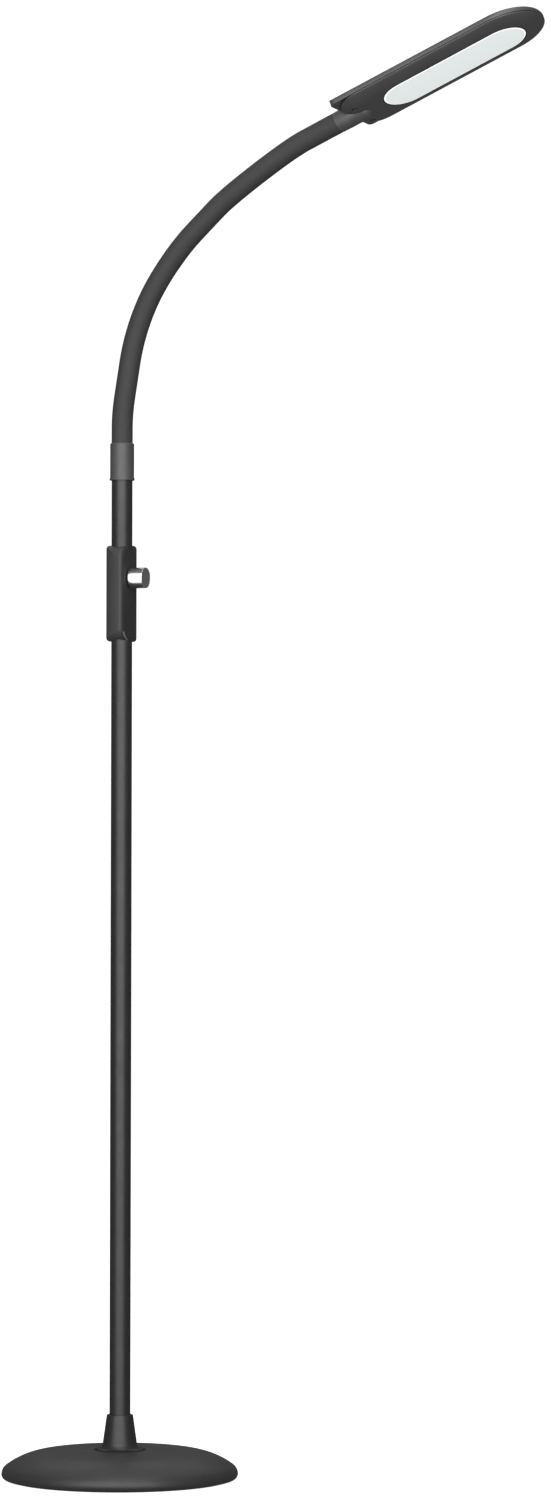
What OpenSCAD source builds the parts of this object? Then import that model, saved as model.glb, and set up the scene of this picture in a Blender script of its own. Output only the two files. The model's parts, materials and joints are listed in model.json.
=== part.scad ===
// Floor lamp with a flexible neck, a flat light head and a dimmer knob on its pole.
// The origin is the centre of the pad's underside, +Z is up and +X is the side that the neck bends to.

/* [Base] */
// Diameter of the base at its widest ring
base_d = 228; // [210:1:280]
// Height of the widest ring above the floor
rim_z = 5.9; // [5.6:0.1:7]
// Height of the dome at its crown
base_h = 32.3; // [31:0.1:38]
// Radius of the dome's shoulder
shoulder_r = 9.6; // [8.5:0.1:12]
// Slope of the dome where its shoulder begins, in degrees
shoulder_turn = 36.3; // [32:0.1:40]
// Radius of the dome between its shoulder and its crown
haunch_r = 74; // [60:1:85]
// Thickness of the dome's sheet
shell_t = 1.6; // [1:0.1:2]
// Gap between the dome's rolled edge and the floor
shell_gap = 1; // [0.5:0.1:1.5]
// Thickness of the pad under the base
pad_t = 2; // [1.2:0.1:2.4]
// Thickness of the bottom plate
plate_t = 2.5; // [2:0.1:3]
// Height of the iron weight's disc
weight_h = 12; // [8:0.5:13]
// Gap between the weight's upper edge and the dome
weight_gap = 4.8; // [2:0.1:20]
// Diameter of the weight's central hub
hub_d = 44; // [40:1:60]
// Diameter of the bottom plate's screws
plate_screw_d = 4; // [3:0.5:5]
// Diameter of the circle that the bottom plate's screws lie on
plate_screw_circle = 160; // [120:1:180]

/* [Pole] */
// Outer diameter of the pole tubes
pole_d = 20.2; // [18:0.1:22]
// Wall of the pole tubes
pole_t = 1.2; // [1:0.1:1.6]
// Visible length of the lower pole
pole_run = 745; // [400:1:1000]
// Visible length of the upper pole
upper_run = 63; // [40:1:200]
// Height of the conical socket on the base
socket_h = 30.7; // [20:0.1:40]
// Wall of the socket at its top
socket_wall = 2.5; // [1.5:0.1:4]
// Wall of the socket's cone at its foot
socket_foot_wall = 6.6; // [5:0.1:7]
// Radius of the hollow flare round the socket's foot
socket_flare = 5.5; // [3:0.1:6]
// Diameter of the hollow stud through the base
stud_d = 10; // [9:0.5:12]
// Diameter of the lead inside the pole
lead_d = 5; // [4:0.1:5.2]

/* [Switch] */
// Height of the switch body
switch_h = 93; // [86:1:110]
// Width of the switch body
switch_w = 32; // [31:0.5:36]
// Distance of the flat front from the pole's axis
face_x = 9.2; // [9:0.1:9.6]
// Thickness of the front panel
panel_t = 2.4; // [2:0.1:3]
// Corner radius of the flat front
face_r = 13; // [8:0.5:14]
// Radius of the ends of the switch body's round back
back_end_r = 4.5; // [2:0.1:6]
// Wall of the switch body
switch_wall = 3; // [2.5:0.1:3.4]
// Distance of the knob's axis below the switch body's top
knob_down = 31.8; // [30:0.1:38]
// Diameter of the knob
knob_d = 20.1; // [17:0.1:24]
// Length of the knob
knob_len = 15.4; // [13:0.1:20]
// Gap between the knob and the front panel
knob_gap = 1.3; // [0.8:0.1:2]
// Diameter of the dimmer's shaft
shaft_d = 6; // [5:0.1:6.3]

/* [Neck] */
// Outer diameter of the neck's sleeve
neck_d = 20.5; // [19:0.1:20.8]
// Outer diameter of the neck's steel core
core_d = 15.2; // [13:0.1:16]
// Bore of the neck's steel core
core_bore = 7; // [6:0.1:8]
// Radius of the ball that ends each link
ball_r = 11.5; // [11.2:0.1:12.5]
// Gap between a link's ball and the next link's cup
ball_gap = 0.3; // [0.2:0.05:0.5]
// Whole bend of the neck at rest, in degrees
neck_turn = 66.24; // [40:0.01:75]
// Length of the link at the ferrule
root_run = 29; // [20:0.1:40]
// Length of each link beside the first sideways pivot
sway_run = 32.9; // [26:0.1:45]
// Length of each link in the tight part of the bend
bend_run = 33.8; // [28:0.1:45]
// Length of the link after the tight part
wide_run = 42.5; // [30:0.1:60]
// Length of each link beside the second sideways pivot
upper_link_run = 32.1; // [26:0.1:45]
// Length of the long link
long_run = 80; // [50:0.1:110]
// Length of each of the last two links
end_run = 33.7; // [26:0.1:45]
// Length of the ferrule at the neck's foot
ferrule_h = 36; // [30:0.5:50]
// Wall of the ferrule around the neck
ferrule_wall = 1.2; // [0.8:0.1:2]

/* [Head] */
// Width of the light head
head_w = 79.7; // [74:0.1:90]
// Length of the light head
head_len = 212; // [190:0.5:240]
// Roll of the light head about the neck's end, in degrees
head_roll = -8.2; // [-15:0.1:15]
// Depth of the underside below the neck's axis
under_depth = 6; // [5.5:0.1:7]
// Height of the underside's curved edge
dish_h = 5.6; // [4.6:0.1:5.8]
// Height of the top above the neck's axis
top_rise = 6.2; // [5.8:0.1:8]
// Radius of the top's edge
top_edge_r = 4; // [2.5:0.1:5]
// Wall of the two head shells
head_wall = 2; // [1.6:0.1:2.2]
// Groove between the two head shells
part_groove = 0.8; // [0.3:0.1:1]
// Width of the diffuser
diff_w = 46.6; // [40:0.1:48]
// Distance from the head's neck end to the diffuser
diff_heel = 39; // [37:0.5:50]
// Distance from the diffuser to the head's tip
diff_tip = 21; // [18:0.5:30]
// Thickness of the diffuser
diff_t = 2; // [1.5:0.1:2.2]
// Thickness of the light board
board_t = 1.6; // [1:0.1:1.8]
// Thickness of the heat plate
heat_t = 1.6; // [1:0.1:1.8]
// Spacing of the light chips along the board
chip_pitch = 10; // [8:0.5:12]

/* [Hidden] */
$fn = 64;

// Clearances
press_fit = 0.05;
run_fit = 0.05;
seat_fit = 0.15;
drop_fit = 0.4;

// Base levels and radii, from the floor up
plate_z = pad_t;
weight_z = plate_z + plate_t;
weight_top = weight_z + weight_h;
under_r = rim_z - shell_gap;
shoulder_x = base_d / 2 - shoulder_r;
haunch_x = shoulder_x - (haunch_r - shoulder_r) * sin(shoulder_turn);
haunch_z = rim_z - (haunch_r - shoulder_r) * cos(shoulder_turn);
haunch_drop = base_h - haunch_z;
crown_r = (pow(haunch_x, 2) + pow(haunch_drop, 2) - pow(haunch_r, 2)) / (2 * (haunch_drop - haunch_r));
crown_z = base_h - crown_r;
crown_turn = asin(haunch_x / (crown_r - haunch_r));
weight_r = haunch_x + sqrt(pow(haunch_r - shell_t, 2) - pow(weight_top - haunch_z, 2)) - weight_gap;
plate_r = base_d / 2 - under_r - drop_fit;
pad_margin = 3;
pole_r = pole_d / 2;
pole_in_r = pole_r - pole_t;
socket_foot_r = pole_r + socket_foot_wall;
socket_lip = 0.6;
socket_edge = 0.6;
flare_top = socket_lip + socket_flare;
cone_slope = (socket_foot_wall - socket_wall) / (socket_h - socket_edge);
seat_r = socket_foot_r - cone_slope * flare_top + socket_flare;
seat_z = crown_z + sqrt(crown_r * crown_r - seat_r * seat_r);
hub_top = crown_z + sqrt(pow(crown_r - shell_t, 2) - pow(hub_d / 2, 2)) - seat_fit;
nut_pocket_r = 17;
nut_pocket_h = 13.5;
nut_roof = weight_z + nut_pocket_h;
nut_h = 6;
nut_flange_h = 2;
nut_flange_r = 13;
nut_af = 17;
stud_r = stud_d / 2 - press_fit;
stud_bore_r = lead_d / 2 + 0.5;
stud_foot = nut_roof - nut_h - 1;
plug_h = 30;
lead_r = lead_d / 2;
lead_z = weight_z + lead_r + 1.2;
channel_w = lead_d + 2;
gland_wall = 1.2;
gland_bore_r = lead_r + 0.2;
gland_r = gland_bore_r + gland_wall;
gland_in = plate_r + 0.5;
gland_out = base_d / 2 + 1.5;
plate_screw_r = plate_screw_d / 2;
plate_screw_len = 8;
plate_screw_count = 4;

// Levels up the pole
socket_top = seat_z + socket_h;
switch_z = socket_top + pole_run;
switch_top = switch_z + switch_h;
ferrule_z = switch_top + upper_run;
ferrule_top = ferrule_z + ferrule_h;
tube_grip = 3;
spigot_h = 16;
spigot_r = pole_in_r - press_fit;
spigot_bore_r = 3;

// Switch body
split_x = face_x - panel_t;
back_x = 1;
switch_end = 14;
cavity_back = back_x - switch_w / 2 + switch_wall;
knob_z = switch_top - knob_down;
knob_x = face_x + knob_gap;
knob_end = knob_x + knob_len;
cap_t = 1;
cap_rim = 0.75;
skirt_wall = 2.8;
skirt_depth = 3.2;
shaft_r = shaft_d / 2;
shaft_end = knob_end - cap_t - 2.4;
bushing_r = shaft_r + 0.5;
bushing_end = face_x + 3;
case_r = 8;
case_back = split_x - 9.8;
shaft_back = case_back + 2;
dimmer_nut_h = 1.8;
dimmer_nut_af = 10;
board_x = case_back;
switch_board_t = 1.6;
switch_board_w = 20;
lead_reach = 4;
post_r = 2.5;
board_screw_r = 1.2;
board_screw_in = switch_end + lead_reach + 2 * board_screw_r + drop_fit;
board_screw_len = 4.5;
board_edge = 3;
panel_screw_r = 1.5;
panel_screw_y = 7;
panel_screw_in = 9;
panel_screw_bite = 1.4;
panel_screw_seat = -8;

// Ferrule
neck_r = neck_d / 2;
core_r = core_d / 2;
core_bore_r = core_bore / 2;
ferrule_r = neck_r + seat_fit + ferrule_wall;
ferrule_lip_r = ferrule_r + 0.5;
ferrule_lip_h = 2;
ferrule_edge = 1;
ferrule_socket = 8.5;
ferrule_web = 4;
neck_seat = ferrule_h - ferrule_socket - ferrule_web;
upper_lead_r = lead_r - 0.2;

// Links of the neck: a pivot that bends is 1, and a pivot that sways is 0
neck_runs = [
    root_run, sway_run, sway_run, bend_run, bend_run, wide_run,
    upper_link_run, upper_link_run, long_run, end_run, end_run
];
bend_pivots = [1, 0, 1, 1, 1, 1, 0, 1, 1, 0];
last_link = len(neck_runs) - 1;
pivot_turn = neck_turn / sum_to(bend_pivots, len(bend_pivots));
clamp_len = 12;
neck_nut_h = 4;
neck_nut_r = 9;

// Head levels, from the neck's axis
bottom_z = -under_depth;
part_z = bottom_z + dish_h;
cover_z = part_z + part_groove;
head_r = head_w / 2;
tip_x = head_len - head_r;
diff_len = head_len - diff_heel - diff_tip;
diff_x = diff_heel + diff_len / 2;
dish_w = head_r - diff_w / 2;
dish_r = (dish_w * dish_w + dish_h * dish_h) / (2 * dish_h);
corner_r = 9;
heel_r = dish_w + 9.5;
boss_r = neck_r + 0.35;
boss_len = clamp_len + 3;
nut_room = neck_nut_h + 0.3;
tongue_t = 1.2;
tongue_h = 1.8;
tongue_fit = 0.1;
floor_z = bottom_z + head_wall;
roof_z = top_rise - head_wall;
lip_w = 2;
lip_t = 1.2;
lip_z = floor_z + 0.1;
board_z = roof_z - heat_t - board_t;
heat_margin = 5;
light_board_w = diff_w + 3;
light_board_len = diff_len + 4;
chip_w = 3;
chip_h = 0.8;
chip_rows = 2;
chip_row_pitch = diff_w / 2;
chip_count = floor((diff_len - diff_w / 2) / chip_pitch);
head_screw_x = 13.4;
head_screw_y = 20;
head_screw_r = 1.45;
head_screw_head_r = 2.8;
head_screw_head_h = 1.1;
head_screw_seat = part_z - 1.2;
head_screw_end = 3.2;
screw_tower_r = head_screw_head_r + seat_fit + 1.2;
screw_post_r = 3.6;
head_lead_r = 1.3;
head_lead_x = clamp_len + 2;
head_lead_end = diff_x - light_board_len / 2 - 0.2;
head_lead_rise = roof_z - heat_t - head_lead_r - drop_fit;

FIXED_NODES = [
    "base_pad", "base_plate", "base_weight", "base_shell", "base_screws", "base_socket", "cable_gland",
    "pole_stud", "stud_nut", "pole_plug", "lower_lead", "pole_lower", "pole_upper", "upper_lead",
    "switch_body", "switch_panel", "panel_screws", "dimmer_board", "board_screws", "dimmer_case",
    "dimmer_nut", "dimmer_shaft", "knob", "knob_cap", "neck_ferrule",
    "neck_nut", "head_casing", "head_cover", "diffuser", "reflector", "led_board", "led_chips",
    "heat_plate", "head_screws", "head_lead"
];

function sum_to(list, count) = count == 0 ? 0 : list[count - 1] + sum_to(list, count - 1);

// Lean of link k from the vertical
function neck_lean(k) = pivot_turn * sum_to(bend_pivots, k);

// Lower pivot of link k
function neck_pivot(k) =
    k == 0 ? [0, 0, ferrule_top]
    : neck_pivot(k - 1) + neck_runs[k - 1] * [sin(neck_lean(k - 1)), 0, cos(neck_lean(k - 1))];

// Half outline of the base, moved inwards by inset
module base_outline(inset) {
    intersection() {
        translate([0, crown_z])
            circle(crown_r - inset, $fn = 720);
        translate([0, rim_z])
            square([(crown_r - inset) * sin(crown_turn), base_h]);
    }
    intersection() {
        translate([haunch_x, haunch_z])
            circle(haunch_r - inset, $fn = 360);
        translate([0, rim_z])
            square([haunch_x + (haunch_r - inset) * sin(shoulder_turn), base_h]);
    }
    intersection() {
        translate([shoulder_x, rim_z])
            circle(shoulder_r - inset);
        translate([0, rim_z])
            square([base_d, base_h]);
    }
    intersection() {
        translate([base_d / 2 - under_r, rim_z])
            circle(under_r - inset);
        translate([base_d / 2 - under_r, 0])
            square([base_d, rim_z]);
    }
}

module ring_of(count, circle_d) {
    for (turn = [0:count - 1])
        rotate(360 / count * (turn + 0.5))
            translate([circle_d / 2, 0, 0])
                children();
}

module tube(outer_r, inner_r, height) {
    difference() {
        cylinder(r = outer_r, h = height);
        translate([0, 0, -1])
            cylinder(r = inner_r, h = height + 2);
    }
}

module base_pad() {
    color("dimgray")
        cylinder(r = plate_r - pad_margin, h = pad_t);
}

module base_plate() {
    color("gray")
        translate([0, 0, plate_z])
            difference() {
                cylinder(r = plate_r, h = plate_t);
                translate([0, 0, -1])
                    cylinder(r = nut_pocket_r, h = plate_t + 2);
                ring_of(plate_screw_count, plate_screw_circle) {
                    translate([0, 0, -1])
                        cylinder(r = plate_screw_r + seat_fit, h = plate_t + 2);
                    cylinder(
                        r1 = 2 * plate_screw_r + seat_fit,
                        r2 = plate_screw_r + seat_fit,
                        h = plate_screw_r
                    );
                }
            }
}

module base_screws() {
    color("silver")
        translate([0, 0, plate_z])
            ring_of(plate_screw_count, plate_screw_circle) {
                cylinder(r1 = 2 * plate_screw_r, r2 = plate_screw_r, h = plate_screw_r);
                cylinder(r = plate_screw_r, h = plate_t + plate_screw_len);
            }
}

module base_weight() {
    color("darkslategray")
        difference() {
            union() {
                translate([0, 0, weight_z])
                    cylinder(r = weight_r, h = weight_h);
                translate([0, 0, weight_z])
                    cylinder(d = hub_d, h = hub_top - weight_z);
            }
            cylinder(r = stud_d / 2 + drop_fit, h = base_h);
            cylinder(r = nut_pocket_r, h = nut_roof);
            translate([-base_d, -channel_w / 2, 0])
                cube([base_d, channel_w, lead_z + channel_w / 2]);
            ring_of(plate_screw_count, plate_screw_circle)
                cylinder(r = plate_screw_r + press_fit, h = plate_z + plate_t + plate_screw_len + 1);
        }
}

module base_shell() {
    color("dimgray")
        difference() {
            rotate_extrude($fn = 180)
                difference() {
                    base_outline(0);
                    base_outline(shell_t);
                }
            translate([0, 0, seat_z])
                cylinder(r = seat_r, h = base_h);
            cylinder(r = stud_d / 2 + drop_fit, h = 2 * base_h);
            translate([-base_d, 0, lead_z])
                rotate([0, 90, 0])
                    cylinder(r = gland_r + press_fit, h = base_d - gland_in);
        }
}

module base_socket() {
    color("dimgray")
        translate([0, 0, seat_z])
            rotate_extrude() {
                polygon([
                    [pole_r + press_fit, 0],
                    [socket_foot_r, 0],
                    [pole_r + socket_wall, socket_h - socket_edge],
                    [pole_r + socket_wall - socket_edge, socket_h],
                    [pole_r + press_fit, socket_h]
                ]);
                difference() {
                    translate([pole_r + press_fit, 0])
                        square([seat_r - pole_r - press_fit, flare_top]);
                    translate([seat_r, flare_top])
                        circle(socket_flare);
                }
            }
}

module cable_gland() {
    color("black")
        translate([-gland_out, 0, lead_z])
            rotate([0, 90, 0])
                tube(gland_r, gland_bore_r, gland_out - gland_in);
}

module pole_stud() {
    color("silver")
        translate([0, 0, stud_foot])
            tube(stud_r, stud_bore_r, seat_z + plug_h - 2 - stud_foot);
}

module stud_nut() {
    color("silver")
        difference() {
            union() {
                translate([0, 0, nut_roof - nut_flange_h])
                    cylinder(r = nut_flange_r, h = nut_flange_h);
                translate([0, 0, nut_roof - nut_h])
                    cylinder(r = nut_af / sqrt(3), h = nut_h, $fn = 6);
            }
            cylinder(r = stud_d / 2, h = base_h);
        }
}

module pole_plug() {
    color("silver")
        translate([0, 0, seat_z])
            tube(pole_in_r - press_fit, stud_d / 2, plug_h);
}

module lower_lead() {
    color("black") {
        translate([-gland_in - 1, 0, lead_z])
            rotate([0, 90, 0])
                cylinder(r = lead_r, h = gland_in + 1);
        translate([0, 0, lead_z])
            sphere(lead_r);
        translate([0, 0, lead_z])
            cylinder(r = lead_r, h = switch_z + switch_end + lead_reach - lead_z);
    }
}

module pole_lower() {
    color("dimgray")
        translate([0, 0, seat_z])
            tube(pole_r, pole_in_r, switch_z + tube_grip - seat_z);
}

module pole_upper() {
    color("dimgray")
        translate([0, 0, switch_top - tube_grip])
            tube(pole_r, pole_in_r, ferrule_z + ferrule_socket - switch_top + tube_grip);
}

module upper_lead() {
    color("black")
        translate([0, 0, switch_top - switch_end - lead_reach])
            cylinder(r = upper_lead_r, h = ferrule_top - switch_top + switch_end);
}

// Cross-section of the hollow in the switch body
module switch_hollow() {
    hollow_r = switch_w / 2 - switch_wall;
    intersection() {
        translate([back_x, 0])
            circle(hollow_r, $fn = 128);
        translate([back_x - switch_w, -switch_w])
            square([switch_w, 2 * switch_w]);
    }
    translate([back_x, -hollow_r])
        square([face_x, 2 * hollow_r]);
}

// Round back of the switch body, with rounded ends
module switch_back() {
    back_r = switch_w / 2;
    translate([back_x, 0, switch_z])
        rotate(90)
            rotate_extrude(angle = 180, $fn = 128) {
                square([back_r - back_end_r, switch_h]);
                translate([0, back_end_r])
                    square([back_r, switch_h - 2 * back_end_r]);
                for (up = [back_end_r, switch_h - back_end_r])
                    translate([back_r - back_end_r, up])
                        circle(back_end_r);
            }
}

// Outline of the flat front, across and up
module face_outline() {
    translate([face_r - switch_w / 2, 0])
        square([switch_w - 2 * face_r, switch_h]);
    translate([-switch_w / 2, face_r])
        square([switch_w, switch_h - 2 * face_r]);
    for (side = [-1, 1])
        for (up = [face_r, switch_h - face_r])
            translate([side * (switch_w / 2 - face_r), up])
                circle(face_r, $fn = 96);
}

module face_slab(from_x, to_x) {
    translate([from_x, 0, switch_z])
        rotate([90, 0, 90])
            linear_extrude(to_x - from_x)
                face_outline();
}

// Room for the ends of the two tubes
module tube_grips() {
    translate([0, 0, switch_z - 1])
        tube(pole_r + press_fit, spigot_r, tube_grip + 1);
    translate([0, 0, switch_top - tube_grip])
        tube(pole_r + press_fit, spigot_r, tube_grip + 1);
}

module panel_screw_places() {
    for (side = [-1, 1])
        for (up = [switch_z + panel_screw_in, switch_top - panel_screw_in])
            translate([0, side * panel_screw_y, up])
                rotate([0, 90, 0])
                    children();
}

module board_screw_places() {
    for (up = [switch_z + board_screw_in, switch_top - board_screw_in])
        translate([0, 0, up])
            rotate([0, 90, 0])
                children();
}

module switch_body() {
    color("dimgray")
        difference() {
            union() {
                intersection() {
                    switch_back();
                    face_slab(back_x - switch_w, back_x);
                }
                face_slab(back_x, split_x);
                translate([0, 0, switch_z - spigot_h])
                    cylinder(r = spigot_r, h = spigot_h + tube_grip);
                translate([0, 0, switch_top - tube_grip])
                    cylinder(r = spigot_r, h = spigot_h + tube_grip);
            }
            difference() {
                translate([0, 0, switch_z + switch_end])
                    linear_extrude(switch_h - 2 * switch_end)
                        switch_hollow();
                board_screw_places()
                    translate([0, 0, cavity_back - 1])
                        cylinder(r = post_r, h = board_x - switch_board_t - cavity_back + 1);
            }
            translate([0, 0, switch_z - spigot_h - 1])
                cylinder(r = spigot_bore_r, h = switch_h + 2 * spigot_h + 2);
            tube_grips();
            panel_screw_places() {
                translate([0, 0, -switch_w])
                    cylinder(r = panel_screw_r + seat_fit, h = 2 * switch_w);
                translate([0, 0, -switch_w])
                    cylinder(r = 2 * panel_screw_r + seat_fit, h = switch_w + panel_screw_seat);
            }
            board_screw_places()
                translate([0, 0, board_x - switch_board_t - board_screw_len])
                    cylinder(r = board_screw_r + press_fit, h = board_screw_len + 1);
        }
}

module switch_panel() {
    color("black")
        difference() {
            face_slab(split_x, face_x);
            tube_grips();
            translate([0, 0, switch_z - 1])
                cylinder(r = spigot_r + press_fit, h = tube_grip + 1);
            translate([0, 0, switch_top - tube_grip])
                cylinder(r = spigot_r + press_fit, h = tube_grip + 1);
            translate([0, 0, knob_z])
                rotate([0, 90, 0])
                    cylinder(r = bushing_r + seat_fit, h = 2 * face_x);
            panel_screw_places()
                cylinder(r = panel_screw_r + press_fit, h = split_x + panel_screw_bite);
        }
}

module panel_screws() {
    color("silver")
        panel_screw_places() {
            translate([0, 0, panel_screw_seat])
                cylinder(r = panel_screw_r, h = split_x + panel_screw_bite - panel_screw_seat);
            translate([0, 0, panel_screw_seat - panel_screw_r])
                cylinder(r = 2 * panel_screw_r, h = panel_screw_r);
        }
}

module dimmer_board() {
    color("darkgreen")
        difference() {
            translate([board_x - switch_board_t, -switch_board_w / 2, switch_z + board_screw_in - board_edge])
                cube([switch_board_t, switch_board_w, switch_h - 2 * (board_screw_in - board_edge)]);
            board_screw_places()
                translate([0, 0, board_x - 2 * switch_board_t])
                    cylinder(r = board_screw_r + seat_fit, h = 3 * switch_board_t);
        }
}

module board_screws() {
    color("silver")
        board_screw_places() {
            translate([0, 0, board_x - switch_board_t - board_screw_len + 1])
                cylinder(r = board_screw_r, h = switch_board_t + board_screw_len - 1);
            translate([0, 0, board_x])
                cylinder(r = 2 * board_screw_r, h = board_screw_r);
        }
}

module dimmer_case() {
    color("lightgray")
        translate([0, 0, knob_z])
            rotate([0, 90, 0])
                difference() {
                    union() {
                        translate([0, 0, case_back])
                            cylinder(r = case_r, h = split_x - case_back);
                        translate([0, 0, case_back])
                            cylinder(r = bushing_r, h = bushing_end - case_back);
                    }
                    translate([0, 0, shaft_back - 0.5])
                        cylinder(r = shaft_r + run_fit, h = 2 * face_x);
                }
}

module dimmer_nut() {
    color("silver")
        translate([face_x, 0, knob_z])
            rotate([0, 90, 0])
                difference() {
                    cylinder(r = dimmer_nut_af / sqrt(3), h = dimmer_nut_h, $fn = 6);
                    translate([0, 0, -1])
                        cylinder(r = bushing_r + press_fit, h = dimmer_nut_h + 2);
                }
}

module dimmer_shaft() {
    color("silver")
        translate([shaft_back, 0, knob_z])
            rotate([0, 90, 0])
                cylinder(r = shaft_r, h = shaft_end - shaft_back);
}

module knob() {
    color("gainsboro")
        translate([0, 0, knob_z])
            rotate([0, 90, 0])
                difference() {
                    translate([0, 0, knob_x])
                        cylinder(d = knob_d, h = knob_len);
                    translate([0, 0, knob_x - 1])
                        cylinder(r = knob_d / 2 - skirt_wall, h = skirt_depth + 1);
                    translate([0, 0, knob_x])
                        cylinder(r = shaft_r + press_fit, h = shaft_end + 0.2 - knob_x);
                    translate([0, 0, knob_end - cap_t])
                        cylinder(r = knob_d / 2 - cap_rim, h = cap_t + 1);
                }
}

module knob_cap() {
    color("slategray")
        translate([knob_end - cap_t, 0, knob_z])
            rotate([0, 90, 0])
                cylinder(r = knob_d / 2 - cap_rim - press_fit, h = cap_t);
}

module neck_ferrule() {
    color("gray")
        translate([0, 0, ferrule_z])
            rotate_extrude()
                polygon([
                    [pole_r + press_fit, 0],
                    [ferrule_lip_r, 0],
                    [ferrule_lip_r, ferrule_lip_h],
                    [ferrule_r, ferrule_lip_h],
                    [ferrule_r, ferrule_h - ferrule_edge],
                    [ferrule_r - ferrule_edge, ferrule_h],
                    [neck_r + seat_fit, ferrule_h],
                    [neck_r + seat_fit, ferrule_h - neck_seat],
                    [core_bore_r, ferrule_h - neck_seat],
                    [core_bore_r, ferrule_socket],
                    [pole_r + press_fit, ferrule_socket]
                ]);
}

// Places a piece that stands on the lower pivot of link k
module on_link(k) {
    translate(neck_pivot(k))
        rotate([0, neck_lean(k), 0])
            children();
}

// Half section of link k between two radii: a cup below and a ball above.
// The first link has a plain foot in the ferrule and the last one a plain end, longer by past.
module link_section(k, inner_r, outer_r, past) {
    run = neck_runs[k];
    foot = k == 0 ? neck_seat : 0;
    difference() {
        intersection() {
            translate([inner_r, -foot])
                square([outer_r - inner_r, foot + run + (k == last_link ? past : ball_r)]);
            union() {
                translate([0, -foot])
                    square([2 * outer_r, foot + run + (k == last_link ? past : 0)]);
                if (k < last_link)
                    translate([0, run])
                        circle(ball_r, $fn = 128);
            }
        }
        if (k > 0)
            circle(ball_r + ball_gap, $fn = 128);
    }
}

module neck_sleeve(k) {
    color("dimgray")
        on_link(k)
            rotate_extrude()
                link_section(k, core_r + press_fit, neck_r, 0);
}

module neck_core(k) {
    color("silver")
        on_link(k)
            rotate_extrude()
                link_section(k, core_bore_r, core_r, clamp_len + neck_nut_h);
}

// Head frame: +X runs from the neck's end to the tip, and +Z is the head's top
module on_head() {
    translate(neck_pivot(last_link + 1))
        rotate([0, neck_turn - 90, 0])
            rotate([head_roll, 0, 0])
                children();
}

// Sweeps a half section along the head and round its tip
module head_sweep(from_x) {
    translate([from_x, 0, 0])
        rotate([90, 0, 90])
            linear_extrude(tip_x - from_x) {
                children();
                mirror([1, 0])
                    children();
            }
    translate([tip_x, 0, 0])
        rotate(-90)
            rotate_extrude(angle = 180, $fn = 128)
                children();
}

// Half section of the casing at a place that is outer_r wide, moved inwards by inset and level at top
module casing_section(outer_r, inset, top) {
    flat_r = outer_r - dish_w;
    translate([0, bottom_z + inset])
        square([flat_r, top - bottom_z - inset]);
    intersection() {
        translate([flat_r, bottom_z + dish_r])
            circle(dish_r - inset, $fn = 256);
        translate([0, bottom_z])
            square([outer_r - inset, top - bottom_z]);
    }
}

// Casing as one solid: its curved edge runs along the head, round the tip and round the neck end
module casing_body(inset, top) {
    turn_y = head_r - heel_r;
    head_sweep(heel_r)
        casing_section(head_r, inset, top);
    for (side = [-1, 1])
        translate([heel_r, side * turn_y, 0])
            rotate(135 - 45 * side)
                rotate_extrude(angle = 90)
                    casing_section(heel_r, inset, top);
    translate([heel_r, -turn_y, 0])
        rotate([90, 0, 180])
            linear_extrude(2 * turn_y)
                casing_section(heel_r, inset, top);
}

module cover_section(inset, from_z) {
    translate([0, from_z])
        square([head_r - inset, top_rise - top_edge_r - from_z]);
    translate([0, from_z])
        square([head_r - top_edge_r, top_rise - inset - from_z]);
    intersection() {
        translate([head_r - top_edge_r, top_rise - top_edge_r])
            circle(top_edge_r - inset);
        translate([0, top_rise - top_edge_r])
            square([head_r, top_edge_r]);
    }
}

// Plan of a shell with two round corners at the neck end, moved inwards by inset
module neck_end_trim(inset, round_r) {
    translate([0, 0, -head_w])
        linear_extrude(2 * head_w) {
            translate([round_r, -head_r])
                square([head_len, head_w]);
            translate([inset, round_r - head_r])
                square([head_len, head_w - 2 * round_r]);
            for (side = [-1, 1])
                translate([round_r, side * (head_r - round_r)])
                    circle(round_r - inset);
        }
}

// Half-round boss that holds the neck's end
module neck_boss() {
    rotate([0, 90, 0])
        cylinder(r = boss_r, h = boss_len);
    translate([boss_len, 0, 0])
        sphere(boss_r);
}

// Room in the boss for the neck's core, its nut and the head's lead
module neck_room() {
    translate([-1, 0, 0])
        rotate([0, 90, 0])
            cylinder(r = core_r + press_fit, h = clamp_len + 2);
    translate([clamp_len, 0, 0])
        rotate([0, 90, 0])
            cylinder(r = neck_nut_r + 0.2, h = nut_room);
    along_head_lead(head_lead_r + 0.6);
}

module along_head_lead(radius) {
    run = head_lead_end - head_lead_x;
    translate([head_lead_x, 0, 0])
        rotate([0, 90 - atan(head_lead_rise / run), 0])
            cylinder(r = radius, h = norm([run, head_lead_rise]));
}

module stadium(length, width, height) {
    translate([diff_x - length / 2 + width / 2, -width / 2, 0])
        cube([length - width, width, height]);
    for (side = [-1, 1])
        translate([diff_x + side * (length - width) / 2, 0, 0])
            cylinder(d = width, h = height, $fn = 128);
}

module head_screw_places() {
    for (side = [-1, 1])
        translate([head_screw_x, side * head_screw_y, 0])
            children();
}

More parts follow.
